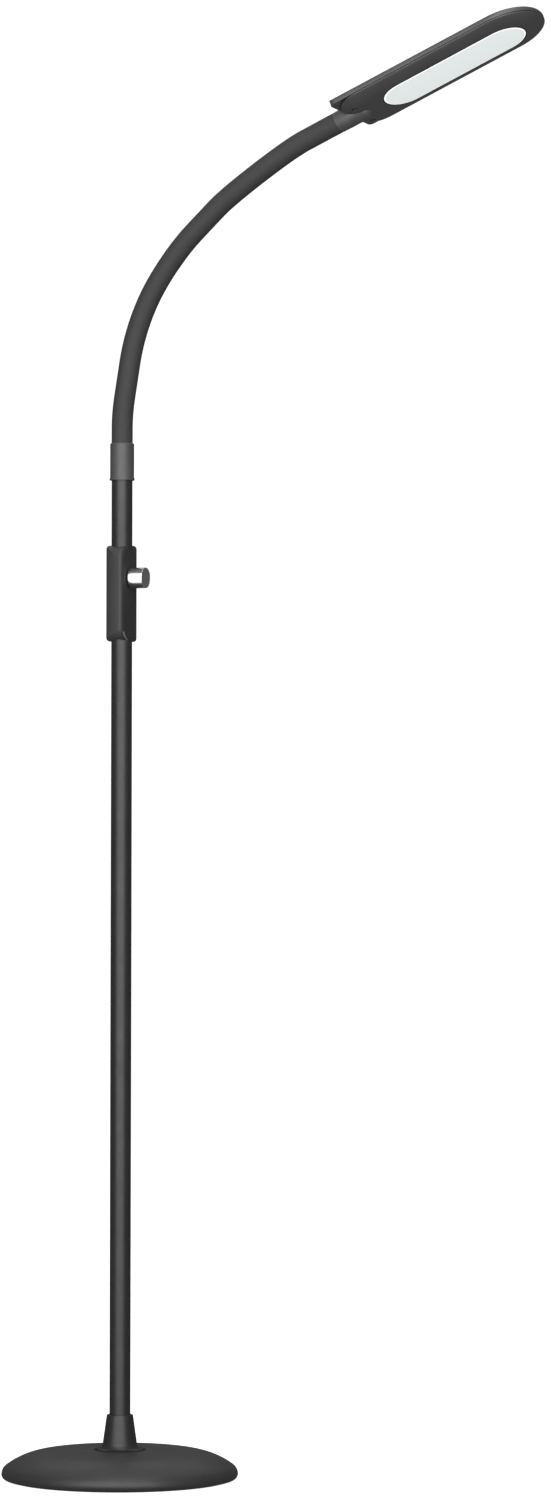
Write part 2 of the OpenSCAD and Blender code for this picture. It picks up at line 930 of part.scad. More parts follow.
module head_casing() {
    color("dimgray")
        on_head()
            difference() {
                union() {
                    difference() {
                        casing_body(0, part_z);
                        casing_body(head_wall, part_z + 1);
                    }
                    head_sweep(heel_r)
                        translate([head_r - head_wall - tongue_fit - tongue_t, part_z - 0.3])
                            square([tongue_t, tongue_h + 0.3]);
                    head_screw_places()
                        translate([0, 0, floor_z])
                            cylinder(r = screw_tower_r, h = part_z - floor_z);
                    intersection() {
                        neck_boss();
                        translate([0, -boss_r, bottom_z - boss_r])
                            cube([2 * boss_len, 2 * boss_r, part_z - bottom_z + boss_r]);
                    }
                }
                translate([0, 0, bottom_z - 1])
                    stadium(diff_len + 2 * seat_fit, diff_w + 2 * seat_fit, head_wall + 2);
                neck_room();
                head_screw_places() {
                    translate([0, 0, bottom_z])
                        cylinder(r = head_screw_r + seat_fit, h = under_depth);
                    translate([0, 0, bottom_z - 1])
                        cylinder(r = head_screw_head_r + seat_fit, h = head_screw_seat - bottom_z + 1);
                }
            }
}

module head_cover() {
    color("dimgray")
        on_head()
            difference() {
                union() {
                    difference() {
                        intersection() {
                            head_sweep(0)
                                cover_section(0, cover_z);
                            neck_end_trim(0, corner_r);
                        }
                        intersection() {
                            head_sweep(0)
                                cover_section(head_wall, cover_z - 1);
                            neck_end_trim(head_wall, heel_r);
                        }
                    }
                    head_screw_places()
                        translate([0, 0, part_z + 0.1])
                            cylinder(r = screw_post_r, h = roof_z - part_z);
                    intersection() {
                        neck_boss();
                        translate([0, -boss_r, cover_z])
                            cube([2 * boss_len, 2 * boss_r, 2 * boss_r]);
                    }
                }
                neck_room();
                head_screw_places()
                    translate([0, 0, part_z])
                        cylinder(r = head_screw_r + press_fit, h = head_screw_end - part_z + 0.5);
            }
}

module diffuser() {
    color("white")
        on_head() {
            translate([0, 0, bottom_z])
                stadium(diff_len, diff_w, diff_t);
            translate([0, 0, lip_z])
                stadium(diff_len + 2 * lip_w, diff_w + 2 * lip_w, lip_t);
        }
}

module reflector() {
    color("whitesmoke")
        on_head()
            translate([0, 0, lip_z + lip_t])
                difference() {
                    stadium(diff_len + 2 * lip_w, diff_w + 2 * lip_w, board_z - lip_z - lip_t);
                    translate([0, 0, -1])
                        stadium(diff_len - lip_w, diff_w - lip_w, board_z - lip_z);
                    translate([0, 0, board_z - lip_z - lip_t - chip_h / 2])
                        stadium(light_board_len + seat_fit, light_board_w + seat_fit, chip_h);
                }
}

module led_board() {
    color("white")
        on_head()
            translate([0, 0, board_z])
                stadium(light_board_len, light_board_w, board_t);
}

module led_chips() {
    color("khaki")
        on_head()
            for (row = [0:chip_rows - 1])
                for (place = [0:chip_count - 1])
                    translate([
                        diff_x + (place - (chip_count - 1) / 2) * chip_pitch - chip_w / 2,
                        (row - (chip_rows - 1) / 2) * chip_row_pitch - chip_w / 2,
                        board_z - chip_h
                    ])
                        cube([chip_w, chip_w, chip_h]);
}

module heat_plate() {
    color("lightgray")
        on_head()
            translate([0, 0, roof_z - heat_t])
                stadium(diff_len + 2 * heat_margin, diff_w + 2 * heat_margin, heat_t);
}

module head_screws() {
    color("silver")
        on_head()
            head_screw_places() {
                translate([0, 0, head_screw_seat - head_screw_head_h])
                    cylinder(r = head_screw_head_r, h = head_screw_head_h);
                translate([0, 0, head_screw_seat])
                    cylinder(r = head_screw_r, h = head_screw_end - head_screw_seat);
            }
}

module neck_nut() {
    color("silver")
        on_head()
            translate([clamp_len, 0, 0])
                rotate([0, 90, 0])
                    difference() {
                        cylinder(r = neck_nut_r, h = neck_nut_h, $fn = 6);
                        translate([0, 0, -1])
                            cylinder(r = core_r + press_fit, h = neck_nut_h + 2);
                    }
}

module head_lead() {
    color("black")
        on_head()
            along_head_lead(head_lead_r);
}

base_pad();
base_plate();
base_weight();
base_shell();
base_screws();
base_socket();
cable_gland();
pole_stud();
stud_nut();
pole_plug();
lower_lead();
pole_lower();
pole_upper();
upper_lead();
switch_body();
switch_panel();
panel_screws();
dimmer_board();
board_screws();
dimmer_case();
dimmer_nut();
dimmer_shaft();
knob();
knob_cap();
neck_ferrule();
for (k = [0:last_link]) {
    neck_sleeve(k);
    neck_core(k);
}
neck_nut();
head_casing();
head_cover();
diffuser();
reflector();
led_board();
led_chips();
heat_plate();
head_screws();
head_lead();
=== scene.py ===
"""Dresses a gooseneck floor lamp: its finishes, its visible pieces and the studio around it."""
import json
import math

import bmesh
import bpy
from bpy.props import FloatProperty, FloatVectorProperty, IntProperty, PointerProperty
from mathutils import Matrix, Vector

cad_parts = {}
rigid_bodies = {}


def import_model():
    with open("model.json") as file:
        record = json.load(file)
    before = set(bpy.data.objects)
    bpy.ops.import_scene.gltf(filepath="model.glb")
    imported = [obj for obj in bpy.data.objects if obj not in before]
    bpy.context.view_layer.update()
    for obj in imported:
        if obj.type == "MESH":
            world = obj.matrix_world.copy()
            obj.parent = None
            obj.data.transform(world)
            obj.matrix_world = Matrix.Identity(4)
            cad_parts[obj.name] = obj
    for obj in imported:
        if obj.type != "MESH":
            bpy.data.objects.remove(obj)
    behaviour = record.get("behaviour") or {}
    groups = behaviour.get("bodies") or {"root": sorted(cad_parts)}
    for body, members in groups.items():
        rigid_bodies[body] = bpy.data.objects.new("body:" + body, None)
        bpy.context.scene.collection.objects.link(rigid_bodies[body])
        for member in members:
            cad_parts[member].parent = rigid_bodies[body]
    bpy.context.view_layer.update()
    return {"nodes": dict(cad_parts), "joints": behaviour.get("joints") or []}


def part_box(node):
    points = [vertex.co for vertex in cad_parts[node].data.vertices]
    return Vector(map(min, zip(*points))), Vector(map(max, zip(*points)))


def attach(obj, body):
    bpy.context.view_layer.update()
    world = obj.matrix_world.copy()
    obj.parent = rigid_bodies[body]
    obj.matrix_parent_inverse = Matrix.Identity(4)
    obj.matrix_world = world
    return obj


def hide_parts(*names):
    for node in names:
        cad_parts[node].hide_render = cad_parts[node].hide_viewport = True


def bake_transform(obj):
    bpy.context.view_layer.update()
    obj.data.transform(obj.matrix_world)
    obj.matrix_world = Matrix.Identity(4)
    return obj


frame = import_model()

bl_info = {
    "name": "Gooseneck Floor Lamp",
    "version": (1, 0, 0),
    "blender": (4, 5, 0),
    "location": "View3D > Sidebar > Floor Lamp",
    "description": "Builds the visible pieces, finishes and studio of a gooseneck floor lamp",
    "category": "Add Mesh",
}

MM = 0.001
UP = Vector((0, 0, 1))
QUARTER = math.pi / 2  # a quarter turn
WELD = 0.01 * MM  # points of a solid that lie closer than this are one
SHARP_TURN = math.radians(35)  # faces that meet at more than this keep a sharp edge
BEVEL_TURN = math.radians(40)  # edges of a solid that turn by more than this are rounded

NECK_JOINTS = [joint for joint in frame["joints"] if joint["name"].startswith("neck_")]
# Lengths of the neck whose ends are listed upper link first.
BENT_FROM_ABOVE = {4}

# Fits and depths of the modelled pieces
SOCKET_PLAY = 0.1 * MM  # between the pole and its socket
SOCKET_EDGE = 0.8 * MM  # rounding of the socket's top edge
FLARE_TURN = math.radians(84)  # how far the socket's flare turns
WIDEST_EDGE = 0.8  # most of the switch's half width that its front edge's rounding takes
# These faces of the lower scoop's front edge carry a lighter finish, a painted highlight for the
# light line that edge catches
HIGHLIGHT_ROWS = range(3, 17)  # faces up the switch's front that lie on its lower scoop
HIGHLIGHT_SIDES = range(-7, -2)  # faces round it that lie on its near edge
FACE_DEPTH = 0.1 * MM  # points of the diffuser this near its face lie on it
SIDE_DEPTH = 0.05 * MM  # points of the casing this near its sides lie on them
EDGE_SKIN = 0.4 * MM  # how deep the round edge's inner side lies in the casing
# The seal round the diffuser is a dark ring that also paints in the shade of the gap there
SHADE_SEAL_PROUD = 0.12 * MM  # how far the seal stands out of the casing
SHADE_SEAL_SUNK = 0.3 * MM  # how far the seal reaches into the casing
OPAL_STEPS = 32  # steps round each end of the diffuser

# Grains of the finishes: how many bumps to the metre, and how deep they are
PAINT_GRAIN = 1500.0, 0.04 * MM
MATTE_GRAIN = 1500.0, 0.03 * MM
SMOOTH_GRAIN = 1500.0, 0.02 * MM
PLATED_GRAIN = 1800.0, 0.02 * MM
ROLLED_GRAIN = 1200.0, 0.03 * MM
MOULDED_GRAIN = 2200.0, 0.03 * MM
SLEEVE_GRAIN = 2600.0, 0.03 * MM
LEAD_GRAIN = 2000.0, 0.03 * MM
BOARD_GRAIN = 800.0, 0.05 * MM
PEARL_GRAIN = 900.0, 0.02 * MM
FOAM_GRAIN = 900.0, 0.2 * MM
CAST_GRAIN = 500.0, 0.3 * MM
FLOOR_GRAIN = 300.0, 0.01 * MM
TURNED_DEPTH = 0.01 * MM  # of the rings on turned metal

# The studio
WHITE = (1, 1, 1)
FLOOR_RADIUS = 60.0
FLOOR_GLOW = 0.95
BACKDROP_GLOW = 1.1
FLOOR_FADE = -0.5, -0.1  # slopes between which the floor in the gloss fades into the walls
FARTHEST_SIGHT = 200.0


# Settings


def number(name, description, default, **kind):
    """A number that a user would change."""
    return FloatProperty(name=name, description=description, default=default, **kind)


def size(name, description, millimetres):
    """A length, given in millimetres."""
    return number(name, description, millimetres * MM, min=0, unit="LENGTH")


def angle(name, description, degrees):
    """An angle, given in degrees."""
    return number(name, description, math.radians(degrees), subtype="ANGLE")


def power(name, description, watts):
    """The power of a light."""
    return number(name, description, watts, min=0, unit="POWER")


def colour(name, description, red, green, blue):
    """A finish's colour, in linear light."""
    return FloatVectorProperty(
        name=name, description=description, default=(red, green, blue),
        min=0, max=1, size=3, subtype="COLOR",
    )


class LampSizes(bpy.types.PropertyGroup):
    """Sizes of the modelled pieces."""

    soft_edge: size("Soft edge", "Rounding of the casing's and ferrule's edges", 0.35)
    crown_drop: size("Crown drop", "How far the middle of the base's crown is pressed down", 3.6)
    crown_reach: size("Crown reach", "Radius inside which the crown is pressed", 80)
    socket_top: size("Socket top", "Radius of the socket's top", 12.75)
    socket_waist: size("Socket waist", "Radius of the socket where its flare starts", 16.25)
    socket_flare: size("Socket flare", "Radius of the socket's flare", 8)
    # The washer under the socket is a dark ring that also stands in for the painted shade where the
    # socket meets the dome
    shade_washer_show: size("Washer show", "How far the washer under the socket shows", 0.9)
    shade_washer_height: size("Washer height", "How high that washer stands", 0.9)
    scoop_rise: size("Scoop rise", "Height of the scoops at the switch's near side", 11.5)
    scoop_reach: size("Scoop reach", "How far those scoops reach in", 15.5)
    switch_end: size("Switch end", "Rounding of the switch body's ends", 3.6)
    switch_bulge: size("Switch bulge", "How far the switch body's sides bulge", 1.4)
    edge_depth: size("Edge depth", "Depth of the rounding along the switch's front edges", 4)
    edge_width: size("Edge width", "Width of the rounding along the switch's front edges", 5)
    knob_edge: size("Knob edge", "Bevel of the knob's edges", 0.45)
    skirt_wall: size("Skirt wall", "Wall of the knob's hollow skirt", 2.8)
    skirt_depth: size("Skirt depth", "Depth of the knob's hollow skirt", 3.2)
    cap_dish: size("Cap dish", "Hollow of the knob's end face", 0.35)
    sleeve_wall: size("Sleeve wall", "Thickness of the neck's sleeve", 1.6)
    sleeve_tuck: size("Sleeve tuck", "Length of the sleeve inside the ferrule", 6)
    core_rib: size("Core rib", "Depth of the grooves round the neck's core", 0.8)
    core_bore: size("Core bore", "Radius of the bore in the neck's core", 3.5)
    core_run: size("Core run", "Length of the neck's core inside the head", 16)
    ring_gap: size("Ring gap", "Distance between the rings of the neck's meshes", 1.8)
    ring_sides: IntProperty(
        name="Ring sides", description="Sides of each turned ring", default=64, min=12
    )
    collar_run: size("Collar run", "Length of the collar at the neck's upper end", 13)
    collar_wall: size("Collar wall", "How far the collar stands out from the neck", 0.35)
    edge_reach: size("Edge reach", "How far the casing's round edge reaches in", 8)
    heel_land: size("Heel land", "What the heel's corner radius has beyond the dished edge", 9.5)
    # The dark seal is partly painted shade for the shadow in the gap round the diffuser
    shade_seal_width: size("Seal width", "Width of the dark seal round the diffuser", 1.1)
    heel_corner: size("Heel corner", "Rounding of the cover's heel corners in the solid", 9)
    heel_round: size("Heel round", "Rounding of those corners as drawn out", 4.5)
    heel_lead: size("Heel lead", "How far the cover's heel is askew at its sides", 2)
    heel_reach: size("Heel reach", "Length over which that lead fades out", 50)
    opal_edge: size("Opal edge", "Width of the diffuser's round rim", 1.5)
    opal_crown: size("Opal crown", "How far the diffuser stands out of the casing", 0.7)


class LampFinishes(bpy.types.PropertyGroup):
    """Colours of the finishes."""

    paint: colour("Paint", "Satin paint on the base, pole and socket", 0.1, 0.1, 0.101)
    ferrule: colour("Ferrule", "Paint on the neck's ferrule and collar", 0.17, 0.17, 0.172)
    sleeve: colour("Sleeve", "Rubber of the neck's sleeve", 0.068, 0.068, 0.068)
    shell: colour("Shell", "Plastic of the switch body", 0.084, 0.084, 0.085)
    head: colour("Head", "Satin paint on the head's shells", 0.2, 0.2, 0.202)
    front: colour("Front", "Plastic of the switch body's front", 0.05, 0.05, 0.051)
    # Painted highlight: this lighter colour on the front's lower scoop edge stands in for the light
    # line it catches
    edge: colour("Edge", "Polished edge of the switch body's front", 0.24, 0.24, 0.24)
    chrome: colour("Chrome", "Plating of the dimmer knob", 0.86, 0.86, 0.87)
    cap: colour("Cap", "Spun steel of the knob's end face", 0.68, 0.68, 0.69)
    opal: colour("Opal", "Plastic of the diffuser", 0.77, 0.82, 0.81)
    steel: colour("Steel", "Zinc-plated screws, nuts and tubes", 0.5, 0.5, 0.51)


class LampStudio(bpy.types.PropertyGroup):
    """Camera, lights and floor."""

    azimuth: angle("Azimuth", "Turn of the camera about the pole", 24.23)
    pitch: angle("Pitch", "Upward tilt of the camera", 1.19)
    roll: angle("Roll", "Roll of the camera", 0.1)
    distance: size("Distance", "Distance of the camera from the pole", 5114)
    height: size("Height", "Height of the camera above the floor", 598.8)
    sideways: size("Sideways", "Shift of the camera to its right", 148.8)
    lens: number("Lens", "Focal length in millimetres", 127.42, min=1)
    front: power("Front", "Power of the wide panel in front", 98)
    side: power("Side", "Power of the panel on the left that the knob alone catches", 76)
    top: power("Top", "Power of the panel overhead", 17)
    back: power("Back", "Power of the panel behind", 14)
    room: number("Room", "Brightness of the room's walls", 0.11, min=0)
    below: number("Below", "Brightness of the floor in the lamp's gloss", 0.13, min=0)
    floor: colour("Floor", "Pale floor", 0.9, 0.9, 0.9)


def settings(context):
    """The three groups of settings in the scene."""
    scene = context.scene
    return scene.lamp_sizes, scene.lamp_finishes, scene.lamp_studio


# Finishes


def grey(tone):
    """A colour without a tint."""
    return tone, tone, tone


def blank_finish(name):
    """An empty node material: the material, its tree and its shader."""
    material = bpy.data.materials.new(name)
    material.use_nodes = True
    tree = material.node_tree
    return material, tree, tree.nodes["Principled BSDF"]


def surface_place(tree):
    """Places on the piece itself, in metres."""
    return tree.nodes.new("ShaderNodeTexCoord").outputs["Object"]


def noise(tree, place, scale, detail=2.0):
    """Soft random values, scale of them to the metre."""
    node = tree.nodes.new("ShaderNodeTexNoise")
    node.inputs["Scale"].default_value = scale
    node.inputs["Detail"].default_value = detail
    tree.links.new(place, node.inputs["Vector"])
    return node.outputs["Fac"]


def stretched(tree, place, factors):
    """Places scaled by a factor along each axis."""
    node = tree.nodes.new("ShaderNodeMapping")
    node.inputs["Scale"].default_value = factors
    tree.links.new(place, node.inputs["Vector"])
    return node.outputs["Vector"]


def between(tree, value, low, high, start=0.3, end=0.7):
    """A value spread out from low to high; most noise lies between the usual start and end."""
    node = tree.nodes.new("ShaderNodeMapRange")
    node.inputs["From Min"].default_value = start
    node.inputs["From Max"].default_value = end
    node.inputs["To Min"].default_value = low
    node.inputs["To Max"].default_value = high
    tree.links.new(value, node.inputs["Value"])
    return node.outputs["Result"]


def tinted(tree, value, base, spread):
    """The base colour made a little darker and lighter by noise."""
    node = tree.nodes.new("ShaderNodeMix")
    node.data_type = "RGBA"
    node.inputs["A"].default_value = (*[part * (1 - spread) for part in base], 1)
    node.inputs["B"].default_value = (*[min(1, part * (1 + spread)) for part in base], 1)
    tree.links.new(value, node.inputs["Factor"])
    return node.outputs["Result"]


def faced(tree, shader, tone, gloss):
    """Gives a shader its colour and roughness."""
    tree.links.new(tone, shader.inputs["Base Color"])
    tree.links.new(gloss, shader.inputs["Roughness"])


def grained(tree, shader, value, depth, strength):
    """Bumps of a depth in metres."""
    node = tree.nodes.new("ShaderNodeBump")
    node.inputs["Distance"].default_value = depth
    node.inputs["Strength"].default_value = strength
    tree.links.new(value, node.inputs["Height"])
    tree.links.new(node.outputs["Normal"], shader.inputs["Normal"])


def lit_within(shader, tint, strength):
    """Makes a finish glow."""
    shader.inputs["Emission Color"].default_value = (*tint, 1)
    shader.inputs["Emission Strength"].default_value = strength


def coated_finish(name, base, grain, rough, metal=0.0):
    """A paint, plastic or metal with a fine grain, slow drifts of tone and uneven gloss."""
    material, tree, shader = blank_finish(name)
    place = surface_place(tree)
    bumps, depth = grain
    cloud = between(tree, noise(tree, place, scale=28.0), 0.0, 1.0)
    patches = noise(tree, place, scale=90.0)
    gloss = between(tree, patches, rough - 0.03, rough + 0.03)
    faced(tree, shader, tinted(tree, cloud, base, spread=0.05), gloss)
    shader.inputs["Metallic"].default_value = metal
    grained(tree, shader, noise(tree, place, bumps, detail=3.0), depth, strength=0.35)
    return material


def rubber_finish(name, base):
    """Matte rubber with faint draw marks along the neck."""
    material, tree, shader = blank_finish(name)
    place = surface_place(tree)
    bumps, depth = SLEEVE_GRAIN
    marks = noise(tree, stretched(tree, place, (1.0, 6.0, 1.0)), scale=90.0, detail=3.0)
    faced(tree, shader, tinted(tree, marks, base, spread=0.05), between(tree, marks, 0.6, 0.7))
    grained(tree, shader, noise(tree, place, bumps), depth, strength=0.4)
    return material


def opal_finish(name, base, glow):
    """Milky plastic that glows a little and has a fine pearl grain."""
    material, tree, shader = blank_finish(name)
    place = surface_place(tree)
    bumps, depth = PEARL_GRAIN
    pearl = noise(tree, place, bumps)
    drift = noise(tree, place, scale=18.0)
    faced(tree, shader, tinted(tree, drift, base, spread=0.03), between(tree, pearl, 0.3, 0.4))
    lit_within(shader, base, glow)
    grained(tree, shader, pearl, depth, strength=0.2)
    return material


def turned_finish(name, base, centre, rough, rings):
    """Bright metal with rings, so many to the metre, about an axis along X through centre."""
    material, tree, shader = blank_finish(name)
    move = tree.nodes.new("ShaderNodeVectorMath")
    move.operation = "SUBTRACT"
    move.inputs[1].default_value = centre
    tree.links.new(surface_place(tree), move.inputs[0])
    flat = stretched(tree, move.outputs["Vector"], (0.0, 1.0, 1.0))
    length = tree.nodes.new("ShaderNodeVectorMath")
    length.operation = "LENGTH"
    tree.links.new(flat, length.inputs[0])
    node = tree.nodes.new("ShaderNodeTexNoise")
    node.noise_dimensions = "1D"
    node.inputs["Scale"].default_value = rings
    node.inputs["Detail"].default_value = 3.0
    tree.links.new(length.outputs["Value"], node.inputs["W"])
    marks = node.outputs["Fac"]
    gloss = between(tree, marks, rough * 0.8, rough * 1.2)
    faced(tree, shader, tinted(tree, marks, base, spread=0.12), gloss)
    shader.inputs["Metallic"].default_value = 1.0
    grained(tree, shader, marks, TURNED_DEPTH, strength=0.3)
    return material


def wear(material, *nodes):
    """Gives solids of the frame a finish."""
    for node in nodes:
        mesh = frame["nodes"][node].data
        mesh.materials.clear()
        mesh.materials.append(material)


def soften(node, width):
    """Rounds the sharp edges of a solid of the frame."""
    bevel = frame["nodes"][node].modifiers.new("soft_edge", "BEVEL")
    bevel.width = width
    bevel.segments = 2
    bevel.limit_method = "ANGLE"
    bevel.angle_limit = BEVEL_TURN
    bevel.harden_normals = True


# Meshes


def new_piece(name, shape, materials):
    """Turns a bmesh into a smooth piece with its finishes."""
    mesh = bpy.data.meshes.new(name)
    bmesh.ops.recalc_face_normals(shape, faces=shape.faces)
    shape.to_mesh(mesh)
    shape.free()
    mesh.polygons.foreach_set("use_smooth", [True] * len(mesh.polygons))
    mesh.set_sharp_from_angle(angle=SHARP_TURN)
    for material in materials:
        mesh.materials.append(material)
    piece = bpy.data.objects.new(name, mesh)
    bpy.context.scene.collection.objects.link(piece)
    return piece


def welded(node):
    """A copy of a solid's mesh in which points at the same place are one."""
    shape = bmesh.new()
    shape.from_mesh(frame["nodes"][node].data)
    bmesh.ops.remove_doubles(shape, verts=shape.verts, dist=WELD)
    return shape


def skinned(rings, ends):
    """A skin over rings of points: its ends are "capped", or "joined" to each other."""
    shape = bmesh.new()
    rows = [[shape.verts.new(point) for point in ring] for ring in rings]
    sides = len(rows[0])
    pairs = list(zip(rows, rows[1:]))
    if ends == "joined":
        pairs.append((rows[-1], rows[0]))
    for row, after in pairs:
        for side in range(sides):
            turn = (side + 1) % sides
            shape.faces.new((row[side], row[turn], after[turn], after[side]))
    if ends == "capped":
        shape.faces.new(rows[0])
        shape.faces.new(rows[-1])
    return shape


def round_ring(centre, along, radius, sides):
    """Points of a circle about a place on an axis that lies in the XZ plane."""
    across = Vector((0, 1, 0))
    up = along.cross(across)
    turns = [2 * math.pi * side / sides for side in range(sides)]
    return [centre + radius * (math.cos(turn) * across + math.sin(turn) * up) for turn in turns]


def turned_rings(profile, origin, along, sides):
    """Rings of a turned piece from pairs of distance along its axis and radius."""
    return [
        round_ring(origin + distance * along, along, radius, sides) for distance, radius in profile
    ]


def arc(start, end, steps):
    """Even steps from start to end, both among them."""
    return [start + (end - start) * step / steps for step in range(steps + 1)]


def bend_path(start, corner, end, gap):
    """Places and directions along a smooth bend from start to end that turns at corner."""
    steps = max(4, round((end - start).length / gap))
    for step in range(steps + 1):
        t = step / steps
        place = start * (1 - t) ** 2 + corner * (2 * t * (1 - t)) + end * t ** 2
        along = (corner - start) * (1 - t) + (end - corner) * t
        yield place, along.normalized()


def straight_path(start, end, gap):
    """Places and directions along a straight line, without its last place."""
    steps = max(1, round((end - start).length / gap))
    along = (end - start).normalized()
    for step in range(steps):
        yield start.lerp(end, step / steps), along


def half_width(low, high):
    """Half the width across Y between two corners."""
    return (high.y - low.y) / 2


def neck_end():
    """The end of the neck's last link, where it meets the head, and the neck's direction there."""
    last = NECK_JOINTS[-1]
    pivot = Vector(last["pos_m"])
    along = Vector((-last["axis"][2], 0, last["axis"][0]))
    sleeve = frame["nodes"][f"neck_sleeve_{len(NECK_JOINTS)}"]
    run = max((vertex.co - pivot).dot(along) for vertex in sleeve.data.vertices)
    return pivot + run * along, along


def head_place():
    """Matrix of the head: X runs from the neck's end to the tip, and Z out of its top."""
    end, along = neck_end()
    flat = max(frame["nodes"]["diffuser"].data.polygons, key=lambda face: face.area)
    top = flat.normal if flat.normal.z > 0 else -flat.normal
    across = top.cross(along).normalized()
    top = along.cross(across)
    turn = Matrix((along, across, top)).transposed().to_4x4()
    return Matrix.Translation(end) @ turn


def opal_rings(profile, place, low, high):
    """Rings round the diffuser's outline from pairs of inset and level in the head."""
    radius = half_width(low, high)
    straight = (high.x - low.x) / 2 - radius
    middle = (low + high) / 2
    rings = []
    for inset, level in profile:
        ring = []
        for side in (1, -1):
            for turn in arc(-QUARTER, QUARTER, OPAL_STEPS):
                x = straight + (radius - inset) * math.cos(turn)
                y = (radius - inset) * math.sin(turn)
                ring.append(place @ Vector((middle.x + side * x, middle.y + side * y, level)))
        rings.append(ring)
    return rings


# Steps of the build


class LAMP_OT_base(bpy.types.Operator):
    """Model the base's dome and weight, the pole's socket and the dark washer at its foot that also
    paints in its contact shadow, and paint the pole
    """

    bl_idname = "lamp.base"
    bl_label = "Base and pole"

    def execute(self, context):
        sizes, finishes, _ = settings(context)
        paint = coated_finish("satin_paint", finishes.paint, PAINT_GRAIN, rough=0.42, metal=0.75)
        wear(paint, "pole_lower", "pole_upper")
        coat = coated_finish("base_paint", finishes.paint, PAINT_GRAIN, rough=0.45, metal=0.5)
        iron = coated_finish("cast_iron", grey(0.06), CAST_GRAIN, rough=0.7, metal=0.6)
        self.press_crown(sizes, "base_shell", "base_dome", coat, "charcoal_paint")
        self.press_crown(sizes, "base_weight", "iron_weight", iron, "iron")
        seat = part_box("base_shell")[1].z
        foot_r = sizes.socket_waist + sizes.socket_flare
        foot = Vector((0, 0, seat - self.drop(sizes, foot_r)))
        self.turn_socket(sizes, foot, paint)
        # Dark rubber washer at the socket's foot: partly a real washer, partly painted shade for
        # the contact shadow
        rubber = coated_finish("washer_rubber", grey(0.01), MATTE_GRAIN, rough=0.7)
        self.turn_shade_washer(sizes, foot, foot_r, rubber)
        foam = coated_finish("pad_foam", grey(0.02), FOAM_GRAIN, rough=0.85)
        wear(foam, "base_pad")
        steel = coated_finish("plate_steel", grey(0.3), ROLLED_GRAIN, rough=0.45, metal=1.0)
        wear(steel, "base_plate")
        return {"FINISHED"}

    def drop(self, sizes, radius):
        """How far the crown is pressed down at a radius."""
        return sizes.crown_drop * max(0, 1 - (radius / sizes.crown_reach) ** 2) ** 2

    def press_crown(self, sizes, node, name, finish, slot):
        """A solid of the base with its top pressed down towards the middle."""
        low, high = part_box(node)
        shape = welded(node)
        for vert in shape.verts:
            share = (vert.co.z - low.z) / (high.z - low.z)
            vert.co.z -= share * self.drop(sizes, vert.co.xy.length)
        piece = new_piece(name, shape, [finish])
        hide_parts(node)
        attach(piece, "stand")

    def turn_socket(self, sizes, foot, paint):
        """The pole's socket: a cone with a hollow flare at its foot."""
        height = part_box("base_socket")[1].z - foot.z
        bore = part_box("pole_lower")[1].y + SOCKET_PLAY
        edge, flare = SOCKET_EDGE, sizes.socket_flare
        waist, top = sizes.socket_waist, sizes.socket_top
        shoulder = height - edge
        profile = [(0, bore), (height, bore)]
        for turn in arc(QUARTER, 0, steps=5):
            profile.append((shoulder + edge * math.sin(turn), top - edge + edge * math.cos(turn)))
        for share in (0.02, 0.06, 0.2, 0.4, 0.6, 0.8, 0.95):
            profile.append((shoulder + (flare - shoulder) * share, top + (waist - top) * share))
        for turn in arc(0, FLARE_TURN, steps=14):
            rise, reach = flare * math.sin(turn), flare * math.cos(turn)
            profile.append((flare - rise, waist + flare - reach))
        profile.append((0, profile[-1][1]))
        rings = turned_rings(profile, foot, UP, 2 * sizes.ring_sides)
        piece = new_piece("socket_cone", skinned(rings, "joined"), [paint])
        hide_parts("base_socket")
        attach(piece, "stand")

    def turn_shade_washer(self, sizes, foot, foot_r, rubber):
        """A dark washer that shows as a line round the socket's foot; it also stands in for the
        contact shadow there, as painted shade.
        """
        show, thick = sizes.shade_washer_show, sizes.shade_washer_height
        inner, outer = foot_r - 3 * show, foot_r + show
        profile = [
            (-thick, inner), (-thick, outer), (thick * 0.3, outer),
            (thick * 0.5, foot_r + show * 0.5), (thick * 0.5, inner),
        ]
        rings = turned_rings(profile, foot, UP, 2 * sizes.ring_sides)
        piece = new_piece("socket_washer", skinned(rings, "joined"), [rubber])
        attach(piece, "stand")


class LAMP_OT_hardware(bpy.types.Operator):
    """Finish the screws, nuts, tubes and leads"""

    bl_idname = "lamp.hardware"
    bl_label = "Hardware"

    def execute(self, context):
        _, finishes, _ = settings(context)
        steel = coated_finish("zinc_steel", finishes.steel, PLATED_GRAIN, rough=0.3, metal=1.0)
        wear(
            steel, "base_screws", "pole_stud", "stud_nut", "pole_plug", "panel_screws",
            "board_screws", "dimmer_case", "dimmer_nut", "dimmer_shaft", "neck_nut",
        )
        black = coated_finish("black_screws", grey(0.03), PLATED_GRAIN, rough=0.4, metal=0.8)
        wear(black, "head_screws")
        rubber = coated_finish("lead_rubber", grey(0.015), LEAD_GRAIN, rough=0.55)
        wear(rubber, "lower_lead", "upper_lead", "head_lead", "cable_gland")
        return {"FINISHED"}


